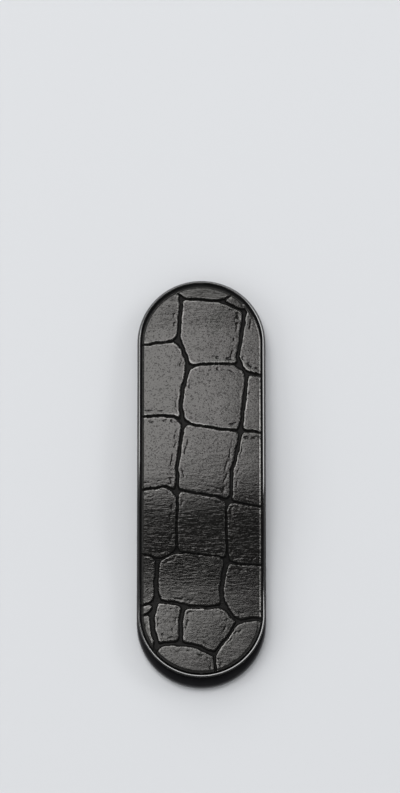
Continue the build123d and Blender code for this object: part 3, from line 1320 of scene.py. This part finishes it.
LEATHER = LeatherFinish(
    name="glazed_croc_leather",
    tone=(0.005, 0.0048, 0.0045),
    second_tone=(0.0068, 0.0065, 0.0061),
    roughness=(0.14, 0.19),
    fine_scale=2.4,
    pit_scale=3.0,
    broad_scale=0.35,
    fine_height=0.018 * MM,
    coordinates=Coordinates.LAY,
)
BAND = RimmedFinish(
    name="gloss_black_elastomer",
    tone=(0.008, 0.008, 0.008),
    second_tone=(0.011, 0.011, 0.011),
    roughness=(0.07, 0.12),
    fine_scale=1.5,
    pit_scale=2.0,
    broad_scale=0.25,
    fine_height=0.001 * MM,
    coordinates=Coordinates.LAY,
    gloss=0.9,
)
BASE = MouldedFinish(
    name="gloss_black_moulding",
    tone=(0.008, 0.008, 0.009),
    second_tone=(0.011, 0.011, 0.012),
    roughness=(0.05, 0.09),
    fine_scale=1.6,
    pit_scale=1.0,
    broad_scale=0.2,
    fine_height=0.001 * MM,
    coordinates=Coordinates.OBJECT,
    gloss=0.22,
)
SHOE = MouldedFinish(
    name="shoe_moulding",
    tone=(0.018, 0.018, 0.019),
    second_tone=(0.025, 0.025, 0.026),
    roughness=(0.36, 0.48),
    fine_scale=5.0,
    pit_scale=2.0,
    broad_scale=0.4,
    fine_height=0.006 * MM,
    coordinates=Coordinates.OBJECT,
)
PLATE = SteelFinish(
    name="rolled_plate_steel",
    tone=(0.42, 0.43, 0.44),
    second_tone=(0.5, 0.5, 0.51),
    roughness=(0.28, 0.45),
    fine_scale=6.0,
    pit_scale=2.0,
    broad_scale=0.5,
    fine_height=0.002 * MM,
    coordinates=Coordinates.OBJECT,
)
SCREW = SteelFinish(
    name="turned_screw_steel",
    tone=(0.48, 0.48, 0.49),
    second_tone=(0.56, 0.56, 0.57),
    roughness=(0.22, 0.38),
    fine_scale=9.0,
    pit_scale=3.0,
    broad_scale=0.9,
    fine_height=0.002 * MM,
    coordinates=Coordinates.OBJECT,
)
FOAM = FoamFinish(
    name="closed_cell_foam",
    tone=(0.045, 0.045, 0.047),
    # The darker second tone is painted shade in the open cells.
    second_tone=(0.02, 0.02, 0.021),
    roughness=(0.82, 0.95),
    fine_scale=7.0,
    pit_scale=4.5,
    broad_scale=0.6,
    fine_height=0.006 * MM,
    coordinates=Coordinates.LAY,
)


@dataclass
class RailBase:
    """The rail, the shoe, the plate and the screws, kept as the CAD has them and dressed."""

    finishes: tuple[tuple[str, MouldedFinish | SteelFinish], ...] = (
        ("rail_base", BASE),
        ("slide_shoe", SHOE),
        ("backing_plate", PLATE),
        ("anchor_screws", SCREW),
        ("shoe_screws", SCREW),
    )

    def dress(self) -> list[Object]:
        """Gives each solid its finish.

        Returns:
            The dressed solids.
        """
        made: dict[str, Material] = {}
        dressed = []
        for node, finish in self.finishes:
            solid = frame["nodes"][node]
            material = made.get(finish.name) or finish.build()
            made[finish.name] = material
            for holder in solid.material_slots:
                holder.material = material
            dressed.append(solid)
        return dressed


@dataclass(frozen=True)
class SoftBox:
    """One studio lamp: a lit panel that faces the grip."""

    name: str
    azimuth: float
    zenith: float
    distance: float
    width: float
    height: float
    radiance: float
    mirrored: bool = True

    def build(self, target: Vector) -> Object:
        """Hangs the panel.

        Args:
            target: What it faces.

        Returns:
            The lamp.
        """
        data = bpy.data.lights.new(self.name, "AREA")
        data.shape = "RECTANGLE"
        data.size, data.size_y = self.width, self.height
        data.energy = self.radiance * math.pi * self.width * self.height
        lamp = bpy.data.objects.new(self.name, data)
        bpy.context.scene.collection.objects.link(lamp)
        turn, fall = math.radians(self.azimuth), math.radians(self.zenith)
        away = Vector((math.sin(turn) * math.sin(fall), math.cos(turn) * math.sin(fall), math.cos(fall)))
        lamp.location = target + away * self.distance
        lamp.rotation_mode = "QUATERNION"
        lamp.rotation_quaternion = (-away).to_track_quat("-Z", "Y")
        lamp.visible_camera = False
        lamp.visible_glossy = self.mirrored
        return lamp


@dataclass
class Studio:
    """The pale floor, the lamps, the sky and the camera."""

    floor_half: float = 1.5
    floor_tone: Triple = (0.58, 0.588, 0.603)
    floor_second_tone: Triple = (0.588, 0.596, 0.611)
    floor_roughness: float = 0.7
    floor_gloss: float = 0.2
    sky_tone: Triple = (0.97, 0.985, 1.0)
    sky_fade: Pair = (0.45, 0.9)
    ambient_strength: float = 0.56
    zenith_strength: float = 0.05
    horizon_strength: float = 0.2
    lamps: tuple[SoftBox, ...] = (
        SoftBox(
            "key_panel",
            azimuth=-30.0,
            zenith=26.4,
            distance=3.0,
            width=1.66,
            height=1.66,
            radiance=4.9,
        ),
        SoftBox(
            "left_fill",
            azimuth=-95.0,
            zenith=55.0,
            distance=0.8,
            width=0.7,
            height=0.4,
            radiance=1.4,
            mirrored=False,
        ),
        SoftBox(
            "right_strip",
            azimuth=66.0,
            zenith=54.0,
            distance=0.8,
            width=0.35,
            height=0.17,
            radiance=5.0,
        ),
        SoftBox(
            "back_fill",
            azimuth=-15.0,
            zenith=58.0,
            distance=2.0,
            width=2.0,
            height=1.2,
            radiance=1.6,
            mirrored=False,
        ),
    )
    tilt: float = 12.5
    distance: float = 1.1
    lens: float = 250.9
    aim: Triple = (-0.28 * MM, 17.085 * MM, 3.5 * MM)
    lit_point: Triple = (0.0, 0.0, 3 * MM)
    sensor: float = 36.0
    sight: Pair = (0.01, 20.0)

    def lay_floor(self) -> Object:
        """Lays the plain pale floor.

        Returns:
            The floor.
        """
        bm = bmesh.new()
        bmesh.ops.create_grid(bm, x_segments=4, y_segments=4, size=self.floor_half)
        mesh = take_mesh(bm, "floor")
        floor = bpy.data.objects.new("floor", mesh)
        bpy.context.scene.collection.objects.link(floor)
        material = bpy.data.materials.new("pale_floor")
        material.use_nodes = True
        bench = Bench(material.node_tree)
        shader = material.node_tree.nodes["Principled BSDF"]
        place = bench.add("TexCoord").outputs["Object"]
        cloud = bench.add("TexNoise", Scale=6.0, Detail=2.0)
        bench.join(place, cloud.inputs["Vector"])
        tone = bench.blend(cloud.outputs["Fac"], self.floor_tone, self.floor_second_tone)
        bench.join(tone, shader.inputs["Base Color"])
        shader.inputs["Roughness"].default_value = self.floor_roughness
        shader.inputs["Specular IOR Level"].default_value = self.floor_gloss
        mesh.materials.append(material)
        return floor

    def light(self) -> list[Object]:
        """Lights the sky and hangs the lamps.

        Returns:
            The lamps.
        """
        world = bpy.data.worlds.new("studio_sky")
        world.use_nodes = True
        sky = world.node_tree.nodes["Background"]
        sky.inputs["Color"].default_value = (*self.sky_tone, 1)
        bench = Bench(world.node_tree)
        axes = bench.add("SeparateXYZ")
        bench.join(bench.add("TexCoord").outputs["Generated"], axes.inputs["Vector"])
        low, high = self.sky_fade
        fade = bench.add("MapRange", interpolation_type="SMOOTHSTEP", From_Min=low, From_Max=high)
        fade.inputs["To Min"].default_value = self.horizon_strength
        fade.inputs["To Max"].default_value = self.zenith_strength
        bench.join(axes.outputs["Z"], fade.inputs["Value"])
        strength = bench.add("Mix", data_type="FLOAT")
        strength.inputs["A"].default_value = self.ambient_strength
        bench.join(bench.add("LightPath").outputs["Is Glossy Ray"], strength.inputs["Factor"])
        bench.join(fade.outputs["Result"], strength.inputs["B"])
        bench.join(strength.outputs["Result"], sky.inputs["Strength"])
        bpy.context.scene.world = world
        return [lamp.build(Vector(self.lit_point)) for lamp in self.lamps]

    def look(self) -> Object:
        """Sets the camera above the foot end, with the grip upright in the frame.

        Returns:
            The camera.
        """
        data = bpy.data.cameras.new("camera")
        data.sensor_width = self.sensor
        data.lens = self.lens
        data.clip_start, data.clip_end = self.sight
        camera = bpy.data.objects.new("camera", data)
        bpy.context.scene.collection.objects.link(camera)
        back = Vector((0, -math.tan(math.radians(self.tilt)), 1)).normalized()
        right = Vector((0, 1, 0)).cross(back).normalized()
        turn = Matrix((right, back.cross(right), back)).transposed().to_4x4()
        camera.matrix_world = Matrix.Translation(Vector(self.aim) + back * self.distance) @ turn
        bpy.context.scene.camera = camera
        return camera


def main() -> None:
    """Builds the studio and the grip, and reports each piece."""
    logging.basicConfig(level=logging.INFO, format="%(name)s: %(message)s")
    bpy.context.scene.view_settings.view_transform = "Standard"
    studio = Studio()
    studio.look()
    studio.lay_floor()
    studio.light()
    lay = BandLay.from_joints(frame["joints"])
    bow = Bow(lay)
    pieces = RailBase().dress()
    pieces.append(FoamPad().build(FOAM.build()))
    pieces += MouldedBand(lay, bow).build(BAND.build())
    pieces += LeatherFacing(lay, bow, HideRelief()).build(LEATHER.build())
    for piece in pieces:
        LOG.info("%s: %d faces, %s", piece.name, len(piece.data.polygons), piece.active_material.name)


if __name__ == "__main__":
    main()
